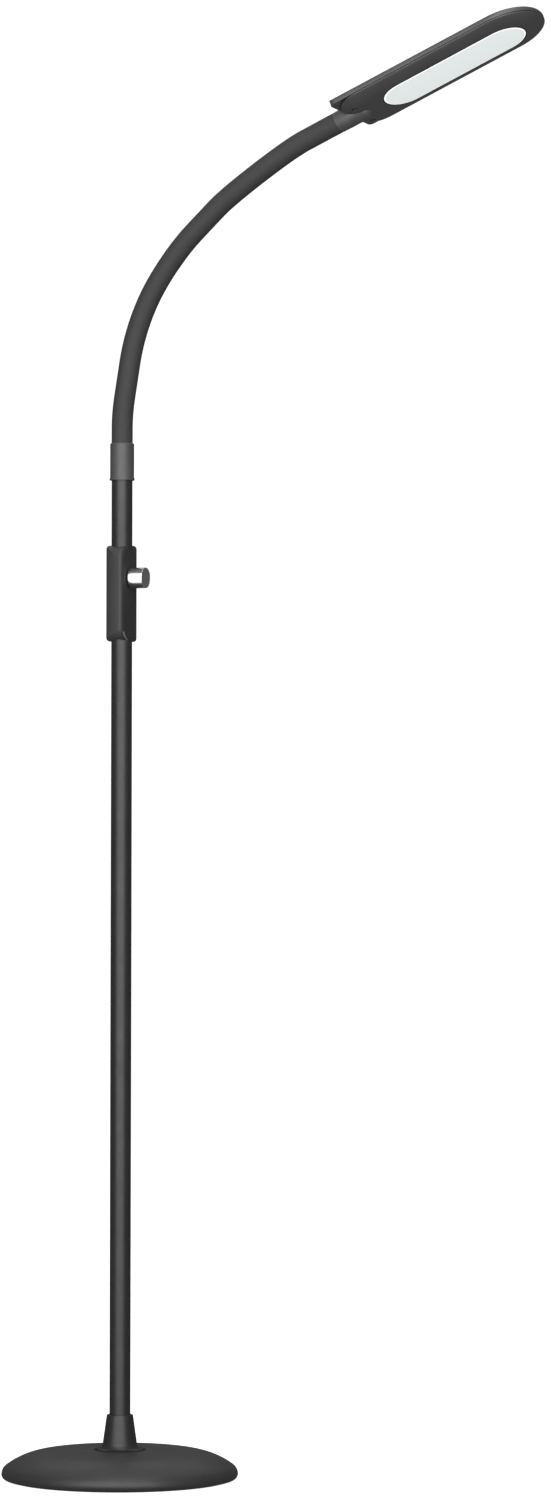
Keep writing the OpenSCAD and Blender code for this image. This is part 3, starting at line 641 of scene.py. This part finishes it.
class LAMP_OT_switch(bpy.types.Operator):
    """Model the switch body and its front with soft edges, and finish the dimmer's board"""

    bl_idname = "lamp.switch"
    bl_label = "Switch"

    def execute(self, context):
        sizes, finishes, _ = settings(context)
        board = coated_finish("circuit_board", (0.012, 0.1, 0.04), BOARD_GRAIN, rough=0.4)
        wear(board, "dimmer_board")
        case = coated_finish("switch_plastic", finishes.shell, MOULDED_GRAIN, rough=0.45)
        front = coated_finish("front_plastic", finishes.front, MOULDED_GRAIN, rough=0.5)
        # Painted highlight along the lower scoop's front edge, not a polish of the plastic
        edge = coated_finish("polished_edge", finishes.edge, MOULDED_GRAIN, rough=0.4)
        low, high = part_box("switch_panel")
        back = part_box("switch_body")[0].x
        case_rings, front_rings = [], []
        for level in self.levels(low.z, high.z, sizes.scoop_rise):
            near = self.corner(sizes, low, high, level, sizes.scoop_rise, sizes.scoop_reach)
            far = self.corner(sizes, low, high, level, sizes.switch_end, sizes.switch_end)
            halves = [self.case_half(sizes, low, high, back, side) for side in (near, far)]
            case_rings.append(self.ring(level, *halves))
            halves = [self.front_half(sizes, low, high, side) for side in (near, far)]
            front_rings.append(self.ring(level, *halves))
        front_shape = skinned(front_rings, "capped")
        self.paint_edge_highlight(front_shape, len(front_rings[0]))
        case_shape = skinned(case_rings, "capped")
        pieces = (
            ("switch_case", case_shape, [case], "charcoal_plastic", "switch_body"),
            ("switch_front", front_shape, [front, edge], "black_plastic", "switch_panel"),
        )
        for name, shape, finish, slot, node in pieces:
            piece = new_piece(name, shape, finish)
            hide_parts(node)
            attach(piece, "stand")
        return {"FINISHED"}

    def paint_edge_highlight(self, shape, sides):
        """Gives the rounded edge of the lower scoop its second, lighter finish: a painted
        highlight.
        """
        shape.faces.ensure_lookup_table()
        for row in HIGHLIGHT_ROWS:
            for side in HIGHLIGHT_SIDES:
                shape.faces[(row + 1) * sides + side].material_index = 1

    def levels(self, foot, top, run):
        """Heights of the rings, close together at the ends."""
        rises = [run * (1 - math.cos(turn)) for turn in arc(0, QUARTER, steps=20)]
        return [foot + rise for rise in rises] + [top - rise for rise in reversed(rises)]

    def corner(self, sizes, low, high, level, turn_rise, turn_reach):
        """The end's inset, half the width and the front edge's width, for one side at a level.

        Near its ends the side turns in by turn_reach over a height of turn_rise."""
        rise = min(level - low.z, high.z - level)
        end = sizes.switch_end
        inset = end - math.sqrt(end ** 2 - max(0, end - rise) ** 2)
        narrowing = turn_reach * (1 - math.sqrt(1 - max(0, 1 - rise / turn_rise) ** 2))
        half_w = high.y + sizes.switch_bulge - narrowing
        return inset, half_w, min(sizes.edge_width, half_w * WIDEST_EDGE)

    def front_edge(self, sizes, high, side):
        """Middle and depth of the front edge's rounding on one side."""
        inset, _, _ = side
        depth = sizes.edge_depth
        return high.x - inset / 3 - depth, depth

    def cut_turn(self, sizes, low, high, side):
        """Angle at which the rounding meets the plane between the body and its front."""
        middle, depth = self.front_edge(sizes, high, side)
        return math.acos((low.x - middle) / depth)

    def edge_points(self, sizes, high, side, start, end):
        """Points along the front edge's rounding between two angles from the front."""
        middle, depth = self.front_edge(sizes, high, side)
        _, half_w, width = side
        return [
            (middle + depth * math.cos(turn), half_w - width + width * math.sin(turn))
            for turn in arc(start, end, steps=10)
        ]

    def front_half(self, sizes, low, high, side):
        """Half the front's outline, from its middle in front to its middle behind."""
        edge = self.edge_points(sizes, high, side, 0, self.cut_turn(sizes, low, high, side))
        return [(edge[0][0], 0), *edge, (low.x, 0)]

    def case_half(self, sizes, low, high, back, side):
        """Half the body's outline, from its middle behind the front to the middle of its back."""
        inset, half_w, _ = side
        cut = self.cut_turn(sizes, low, high, side)
        edge = self.edge_points(sizes, high, side, cut, QUARTER)
        middle = edge[-1][0]
        depth = middle - back - inset
        full_w = high.y + sizes.switch_bulge - inset
        start = math.acos(half_w / full_w)
        round_back = [
            (middle - depth * math.sin(turn), full_w * math.cos(turn))
            for turn in arc(start, QUARTER, steps=33)[1:]
        ]
        return [(low.x, 0), *edge, *round_back]

    def ring(self, level, near, far):
        """A closed ring at a level from two halves; Y is below zero on the near side."""
        points = far + [(x, -y) for x, y in reversed(near[1:-1])]
        return [Vector((x, y, level)) for x, y in points]


class LAMP_OT_knob(bpy.types.Operator):
    """Turn the dimmer knob and its end face"""

    bl_idname = "lamp.knob"
    bl_label = "Knob"

    def execute(self, context):
        sizes, finishes, _ = settings(context)
        low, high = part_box("knob")
        cap_low, cap_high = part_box("knob_cap")
        centre = (low + high) / 2
        origin = Vector((0, centre.y, centre.z))
        along = Vector((1, 0, 0))
        radius = half_width(low, high)
        cap_r = half_width(cap_low, cap_high)
        shaft_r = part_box("dimmer_shaft")[1].y
        bevel = sizes.knob_edge
        nose = bevel * 0.3
        web, skirt_r = low.x + sizes.skirt_depth, radius - sizes.skirt_wall
        knob = [
            (web, shaft_r), (web, skirt_r), (low.x, skirt_r), (low.x, radius - bevel),
            (low.x + nose, radius - nose), (low.x + bevel, radius), (low.x + bevel * 2, radius),
            (high.x - bevel * 2, radius), (high.x - bevel, radius), (high.x - nose, radius - nose),
            (high.x, radius - bevel), (high.x, cap_r), (cap_low.x, cap_r), (cap_low.x, shaft_r),
        ]
        rim, face = cap_r - bevel, high.x - bevel / 4
        cap = [(cap_low.x, cap_r), (high.x - bevel / 2, cap_r), (face, rim)]
        for share in (0.8, 0.6, 0.4, 0.2, 0.03):
            cap.append((face - sizes.cap_dish * (1 - share ** 2), rim * share))
        chrome = turned_finish("knob_chrome", finishes.chrome, centre, rough=0.24, rings=900.0)
        spun = turned_finish("spun_cap", finishes.cap, centre, rough=0.35, rings=2500.0)
        pieces = (
            ("dimmer_knob", knob, chrome, "knob_chrome", "knob"),
            ("dimmer_cap", cap, spun, "cap_steel", "knob_cap"),
        )
        for name, profile, finish, slot, node in pieces:
            rings = turned_rings(profile, origin, along, sizes.ring_sides)
            piece = new_piece(name, skinned(rings, "capped"), [finish])
            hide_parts(node)
            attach(piece, "dimmer")
        return {"FINISHED"}


class LAMP_OT_neck(bpy.types.Operator):
    """Model the neck's bent sleeve and core and its collar, and paint its ferrule"""

    bl_idname = "lamp.neck"
    bl_label = "Neck"

    def execute(self, context):
        sizes, finishes, _ = settings(context)
        coat = coated_finish("ferrule_paint", finishes.ferrule, PAINT_GRAIN, rough=0.52, metal=0.45)
        wear(coat, "neck_ferrule")
        soften("neck_ferrule", sizes.soft_edge)
        outer = half_width(*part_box("neck_sleeve_0"))
        bore = outer - sizes.sleeve_wall
        end, along = neck_end()
        tuck = Vector((0, 0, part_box("neck_ferrule")[1].z - sizes.sleeve_tuck))
        rubber = rubber_finish("sleeve_rubber", finishes.sleeve)
        self.draw_tube(sizes, "sleeve", [outer], bore, tuck, end, rubber, "sleeve_rubber")
        low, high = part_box("neck_core_0")
        crest = half_width(low, high)
        ribs = [crest, crest, crest - sizes.core_rib, crest - sizes.core_rib]
        foot, tip = Vector((0, 0, low.z)), end + sizes.core_run * along
        steel = coated_finish("core_steel", finishes.steel, PLATED_GRAIN, rough=0.3, metal=1.0)
        self.draw_tube(sizes, "core", ribs, sizes.core_bore, foot, tip, steel, "screw_steel")
        self.turn_collar(sizes, outer, coat)
        return {"FINISHED"}

    def draw_tube(self, sizes, name, radii, bore, tail, tip, finish, slot):
        """Lengths of tube from tail to tip, one for each pivot; their rings take radii by turns."""
        foot = Vector((0, 0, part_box("neck_ferrule")[1].z))
        pivots = [Vector(joint["pos_m"]) for joint in NECK_JOINTS]
        stations = [foot, *pivots, neck_end()[0]]
        middles = [(before + after) / 2 for before, after in zip(stations, stations[1:])]
        for index, joint in enumerate(NECK_JOINTS):
            number = index + 1
            start, end = middles[index], middles[number]
            path = list(bend_path(start, pivots[index], end, sizes.ring_gap))
            if index == 0:
                path = list(straight_path(tail, start, sizes.ring_gap)) + path
            if number == len(NECK_JOINTS):
                path = path[:-1] + list(straight_path(end, tip, sizes.ring_gap))
                path.append((tip, path[-1][1]))
            rings = [
                round_ring(place, along, radii[step % len(radii)], sizes.ring_sides)
                for step, (place, along) in enumerate(path)
            ]
            rings += [
                round_ring(place, along, bore, sizes.ring_sides) for place, along in reversed(path)
            ]
            piece = new_piece(f"{name}_{number}", skinned(rings, "joined"), [finish])
            stood_for = [f"neck_{name}_{number}"]
            if index == 0:
                stood_for.append(f"neck_{name}_0")
            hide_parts(*stood_for)
            ends = [(joint["parent"], start), (joint["child"], end)]
            if number in BENT_FROM_ABOVE:
                ends.reverse()
            (first, start), (last, end) = ends
            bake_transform(piece)

    def turn_collar(self, sizes, outer, paint):
        """A thin ring round the neck's upper end that the head's shells close on."""
        end, along = neck_end()
        run, lip = sizes.collar_run, sizes.collar_wall
        profile = [
            (-run, outer - lip), (-run, outer + lip * 0.1), (-run * 0.6, outer + lip * 0.6),
            (-lip, outer + lip), (0, outer + lip * 0.6), (0, outer - lip),
        ]
        rings = turned_rings(profile, end, along, sizes.ring_sides)
        piece = new_piece("neck_collar", skinned(rings, "joined"), [paint])
        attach(piece, "head")


class LAMP_OT_head(bpy.types.Operator):
    """Model the head's cover, round edge, diffuser with its painted-highlight rim, and the seal, a
    dark ring that also paints in the shade round the diffuser, and finish what its shells hold
    """

    bl_idname = "lamp.head"
    bl_label = "Head"

    def execute(self, context):
        sizes, finishes, _ = settings(context)
        paint = coated_finish("head_paint", finishes.head, PAINT_GRAIN, rough=0.45, metal=0.6)
        wear(paint, "head_casing")
        soften("head_casing", sizes.soft_edge)
        white = coated_finish("reflector_white", grey(0.8), MATTE_GRAIN, rough=0.5)
        wear(white, "reflector")
        aluminium = coated_finish("board_aluminium", grey(0.7), SMOOTH_GRAIN, rough=0.35, metal=1.0)
        wear(aluminium, "led_board", "heat_plate")
        phosphor = coated_finish("chip_phosphor", (0.75, 0.6, 0.15), SMOOTH_GRAIN, rough=0.3)
        wear(phosphor, "led_chips")
        place = head_place()
        local = place.inverted()
        low, high, bottom, back = self.opening(local)
        self.sharpen_cover(sizes, place, local, paint)
        self.mould_edge(sizes, place, local, bottom, high.y, paint)
        self.mould_diffuser(sizes, finishes, place, low, high, bottom, back)
        # Dark seal rubber: partly a seal, partly painted shade in the gap round the diffuser
        rubber = coated_finish("seal_rubber", grey(0.008), MATTE_GRAIN, rough=0.6)
        self.lay_shade_seal(sizes, place, low, high, bottom, rubber)
        return {"FINISHED"}

    def opening(self, local):
        """Corners of the diffuser's outline in the head, and the levels of its face and back."""
        points = [local @ vertex.co for vertex in frame["nodes"]["diffuser"].data.vertices]
        bottom = min(point.z for point in points)
        back = max(point.z for point in points)
        face = [point for point in points if point.z < bottom + FACE_DEPTH]
        low = Vector((min(point.x for point in face), min(point.y for point in face), 0))
        high = Vector((max(point.x for point in face), max(point.y for point in face), 0))
        return low, high, bottom, back

    def sharpen_cover(self, sizes, place, local, paint):
        """The cover with its two heel corners drawn out, and its heel a little askew."""
        shape = welded("head_cover")
        shape.transform(local)
        half_w = max(vert.co.y for vert in shape.verts)
        heel = min(vert.co.x for vert in shape.verts)
        old, new = sizes.heel_corner, sizes.heel_round
        for vert in shape.verts:
            side = math.copysign(1, vert.co.y)
            middle = Vector((heel + old, side * (half_w - old)))
            out = Vector((middle.x - vert.co.x, side * (vert.co.y - middle.y)))
            if min(out) > 0:
                turn = math.atan2(out.y, out.x)
                reach = self.corner_reach(old, new, min(turn, QUARTER - turn)) / old
                vert.co.x = middle.x - out.x * reach
                vert.co.y = middle.y + side * out.y * reach
            fade = max(0, 1 - (vert.co.x - heel) / sizes.heel_reach)
            vert.co.x += sizes.heel_lead * fade ** 2 * vert.co.y / half_w
        shape.transform(place)
        piece = new_piece("cover_shell", shape, [paint])
        shading = piece.modifiers.new("even_shading", "WEIGHTED_NORMAL")
        shading.keep_sharp = True
        shading.weight = 100
        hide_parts("head_cover")
        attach(piece, "head")

    def corner_reach(self, old, new, turn):
        """Distance to a corner's new outline from the middle of its old rounding.

        It is asked for at a turn of up to half a quarter from the nearer side."""
        flat = math.atan2(old - new, old)
        if turn <= flat:
            return old / math.cos(turn)
        shift = (old - new) * math.sqrt(2)
        swing = QUARTER / 2 - turn
        return shift * math.cos(swing) + math.sqrt(new ** 2 - (shift * math.sin(swing)) ** 2)

    def mould_edge(self, sizes, place, local, bottom, opening_w, paint):
        """The casing's round upper edge, from one side of the heel round the tip to the other."""
        points = [local @ vertex.co for vertex in frame["nodes"]["head_casing"].data.vertices]
        half_w = max(point.y for point in points)
        length = max(point.x for point in points)
        parting = max(point.z for point in points if point.y > half_w - SIDE_DEPTH)
        dish_w, dish_h = half_w - opening_w, parting - bottom
        dish_r = (dish_w ** 2 + dish_h ** 2) / (2 * dish_h)
        heel_r = dish_w + sizes.heel_land
        section = self.edge_section(sizes.edge_reach, parting, bottom + dish_r, dish_w, dish_r)
        rings = []
        for centre, radius, turn in self.edge_turns(half_w, length, heel_r):
            out = Vector((math.cos(turn), math.sin(turn), 0))
            rings.append([
                place @ (centre + (radius - inset) * out + Vector((0, 0, z)))
                for inset, z in section
            ])
        piece = new_piece("casing_edge", skinned(rings, "capped"), [paint])
        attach(piece, "head")

    def edge_section(self, reach, parting, centre_z, dish_w, dish_r):
        """The round edge's section, as insets from the outline and levels.

        Its inner side lies in the casing."""
        run = dish_w - reach
        end_z = centre_z - math.sqrt(dish_r ** 2 - run ** 2)
        slope = run / math.sqrt(dish_r ** 2 - run ** 2)
        turn_z = end_z + slope * reach
        section = []
        for t in arc(0, 1, steps=14):
            z = parting * (1 - t) ** 2 + turn_z * 2 * t * (1 - t) + end_z * t ** 2
            section.append((reach * t ** 2, z))
        inner_r = dish_r - EDGE_SKIN
        for inset in arc(reach, reach * 0.1, steps=6)[1:]:
            section.append((inset, centre_z - math.sqrt(inner_r ** 2 - (dish_w - inset) ** 2)))
        return section

    def edge_turns(self, half_w, length, heel_r):
        """Centres, radii and angles along the casing's outline."""
        side = half_w - heel_r
        for turn in arc(2 * QUARTER, 3 * QUARTER, steps=12):
            yield Vector((heel_r, -side, 0)), heel_r, turn
        for turn in arc(-QUARTER, QUARTER, steps=40):
            yield Vector((length - half_w, 0, 0)), half_w, turn
        for turn in arc(QUARTER, 2 * QUARTER, steps=12):
            yield Vector((heel_r, side, 0)), heel_r, turn

    def mould_diffuser(self, sizes, finishes, place, low, high, bottom, back):
        """A milky plate with a slight crown, let into the casing; its round rim glows whiter and
        brighter than the rest, a painted highlight.
        """
        edge, crown = sizes.opal_edge, sizes.opal_crown
        rise = edge / 3
        profile = [(0, back), (0, bottom + rise)]
        for turn in arc(0, QUARTER, steps=6)[1:]:
            level = bottom + rise - (rise + crown / 2) * math.sin(turn)
            profile.append((edge * (1 - math.cos(turn)), level))
        highlight_rim_rows = len(profile) - 1
        reach = half_width(low, high) - edge
        for share in (0.15, 0.35, 0.6, 0.85):
            level = bottom - crown / 2 * (1 + share * (2 - share))
            profile.append((edge + reach * share, level))
        rings = opal_rings(profile, place, low, high)
        shape = skinned(rings, "capped")
        shape.faces.ensure_lookup_table()
        for face in shape.faces[:highlight_rim_rows * len(rings[0])]:
            face.material_index = 1
        milky = opal_finish("opal_plastic", finishes.opal, glow=0.68)
        # The rim's whiter, stronger glow is a painted highlight along the diffuser's edge
        bright = opal_finish("opal_rim", grey(0.9), glow=0.9)
        piece = new_piece("opal_plate", shape, [milky, bright])
        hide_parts("diffuser")
        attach(piece, "head")

    def lay_shade_seal(self, sizes, place, low, high, bottom, rubber):
        """A thin dark ring in the gap round the diffuser; partly a seal, partly painted shade for
        the shadow in that gap.
        """
        width = sizes.shade_seal_width
        proud, sunk = bottom - SHADE_SEAL_PROUD, bottom + SHADE_SEAL_SUNK
        profile = [(-width, sunk), (-width, proud), (0, proud), (0, sunk)]
        rings = opal_rings(profile, place, low, high)
        piece = new_piece("opal_seal", skinned(rings, "joined"), [rubber])
        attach(piece, "head")


class LAMP_OT_stage(bpy.types.Operator):
    """Lay the pale floor, set the lights and the camera"""

    bl_idname = "lamp.stage"
    bl_label = "Studio"

    def execute(self, context):
        _, _, studio = settings(context)
        self.lay_floor(context, studio)
        self.set_world(context, studio)
        turn = Matrix.Rotation(studio.azimuth, 4, "Z")
        # Name, power, place, target, width and height of each, and the only pieces that it lights
        lights = (
            ("front_light", studio.front, (-0.2, -2.6, 2.0), (0, 0, 2.0), (4.6, 4.6)),
            ("side_light", studio.side, (-2.5, -1.9, 0.7), (0, 0, 0.9), (2.6, 6.6), "dimmer_"),
            ("top_light", studio.top, (0.2, -0.4, 4.0), (0.1, 0, 0), (2.0, 2.0)),
            ("back_light", studio.back, (0.0, 3.0, 3.4), (0, 0, 0.8), (4.0, 2.0)),
        )
        for light in lights:
            self.hang_light(context, turn, *light)
        self.set_camera(context, studio, turn)
        context.scene.view_settings.view_transform = "Standard"
        return {"FINISHED"}

    def lay_floor(self, context, studio):
        """A wide pale floor, lit from within so that it runs into the white behind it."""
        shape = bmesh.new()
        bmesh.ops.create_circle(shape, cap_ends=True, segments=96, radius=FLOOR_RADIUS)
        mesh = bpy.data.meshes.new("floor")
        shape.to_mesh(mesh)
        shape.free()
        pale = coated_finish("floor_paint", studio.floor, FLOOR_GRAIN, rough=0.9)
        shader = pale.node_tree.nodes["Principled BSDF"]
        shader.inputs["Specular IOR Level"].default_value = 0
        lit_within(shader, WHITE, FLOOR_GLOW)
        mesh.materials.append(pale)
        floor = bpy.data.objects.new("floor", mesh)
        context.scene.collection.objects.link(floor)
        floor.visible_glossy = False
        floor.visible_diffuse = False
        floor.visible_shadow = False

    def set_world(self, context, studio):
        """White behind the lamp, and for its gloss a dim room with a paler floor."""
        world = bpy.data.worlds.new("studio")
        world.use_nodes = True
        context.scene.world = world
        tree = world.node_tree
        room = tree.nodes["Background"]
        room.inputs["Color"].default_value = (*WHITE, 1)
        split = tree.nodes.new("ShaderNodeSeparateXYZ")
        direction = tree.nodes.new("ShaderNodeTexCoord").outputs["Generated"]
        tree.links.new(direction, split.inputs["Vector"])
        fade = between(tree, split.outputs["Z"], studio.below, studio.room, *FLOOR_FADE)
        tree.links.new(fade, room.inputs["Strength"])
        white = tree.nodes.new("ShaderNodeBackground")
        white.inputs["Color"].default_value = (*WHITE, 1)
        white.inputs["Strength"].default_value = BACKDROP_GLOW
        path = tree.nodes.new("ShaderNodeLightPath")
        mix = tree.nodes.new("ShaderNodeMixShader")
        tree.links.new(path.outputs["Is Camera Ray"], mix.inputs["Fac"])
        tree.links.new(room.outputs["Background"], mix.inputs[1])
        tree.links.new(white.outputs["Background"], mix.inputs[2])
        tree.links.new(mix.outputs["Shader"], tree.nodes["World Output"].inputs["Surface"])

    def hang_light(self, context, turn, name, watts, place, target, spread, only=None):
        """A soft rectangular light, placed as the camera sees the room.

        It lights everything, or only the pieces whose names start with only."""
        data = bpy.data.lights.new(name, "AREA")
        data.shape = "RECTANGLE"
        data.size, data.size_y = spread
        data.energy = watts
        light = bpy.data.objects.new(name, data)
        context.scene.collection.objects.link(light)
        light.visible_camera = False
        light.location = turn @ Vector(place)
        aim = turn @ Vector(target) - light.location
        light.rotation_euler = aim.to_track_quat("-Z", "Y").to_euler()
        if only:
            lit = bpy.data.collections.new(name)
            for piece in context.scene.objects:
                if piece.name.startswith(only):
                    lit.objects.link(piece)
            light.light_linking.receiver_collection = lit

    def set_camera(self, context, studio, turn):
        """A camera at the photograph's viewing angle."""
        data = bpy.data.cameras.new("camera")
        data.lens = studio.lens
        data.clip_end = FARTHEST_SIGHT
        camera = bpy.data.objects.new("camera", data)
        context.scene.collection.objects.link(camera)
        place = turn @ Vector((studio.sideways, -studio.distance, studio.height))
        tilt = Matrix.Rotation(QUARTER + studio.pitch, 4, "X")
        roll = Matrix.Rotation(studio.roll, 4, "Z")
        camera.matrix_world = Matrix.Translation(place) @ turn @ tilt @ roll
        context.scene.camera = camera


class LAMP_PT_panel(bpy.types.Panel):
    """The lamp's steps, sizes, finishes and studio"""

    bl_idname = "LAMP_PT_panel"
    bl_label = "Floor Lamp"
    bl_space_type = "VIEW_3D"
    bl_region_type = "UI"
    bl_category = "Floor Lamp"

    def draw(self, context):
        for step in STEPS:
            self.layout.operator(step.bl_idname)
        for group in settings(context):
            box = self.layout.box()
            for name in group.__annotations__:
                box.prop(group, name)


STEPS = (
    LAMP_OT_base, LAMP_OT_hardware, LAMP_OT_switch, LAMP_OT_knob, LAMP_OT_neck, LAMP_OT_head,
    LAMP_OT_stage,
)
GROUPS = (LampSizes, LampFinishes, LampStudio)


def register():
    """Registers the classes and the groups of settings."""
    for made in (*GROUPS, *STEPS, LAMP_PT_panel):
        bpy.utils.register_class(made)
    bpy.types.Scene.lamp_sizes = PointerProperty(type=LampSizes)
    bpy.types.Scene.lamp_finishes = PointerProperty(type=LampFinishes)
    bpy.types.Scene.lamp_studio = PointerProperty(type=LampStudio)


def unregister():
    """Takes back what register did."""
    del bpy.types.Scene.lamp_studio
    del bpy.types.Scene.lamp_finishes
    del bpy.types.Scene.lamp_sizes
    for made in reversed((*GROUPS, *STEPS, LAMP_PT_panel)):
        bpy.utils.unregister_class(made)


def main():
    """Runs every step in order."""
    register()
    bpy.ops.lamp.base()
    bpy.ops.lamp.hardware()
    bpy.ops.lamp.switch()
    bpy.ops.lamp.knob()
    bpy.ops.lamp.neck()
    bpy.ops.lamp.head()
    bpy.ops.lamp.stage()


if __name__ == "__main__":
    main()
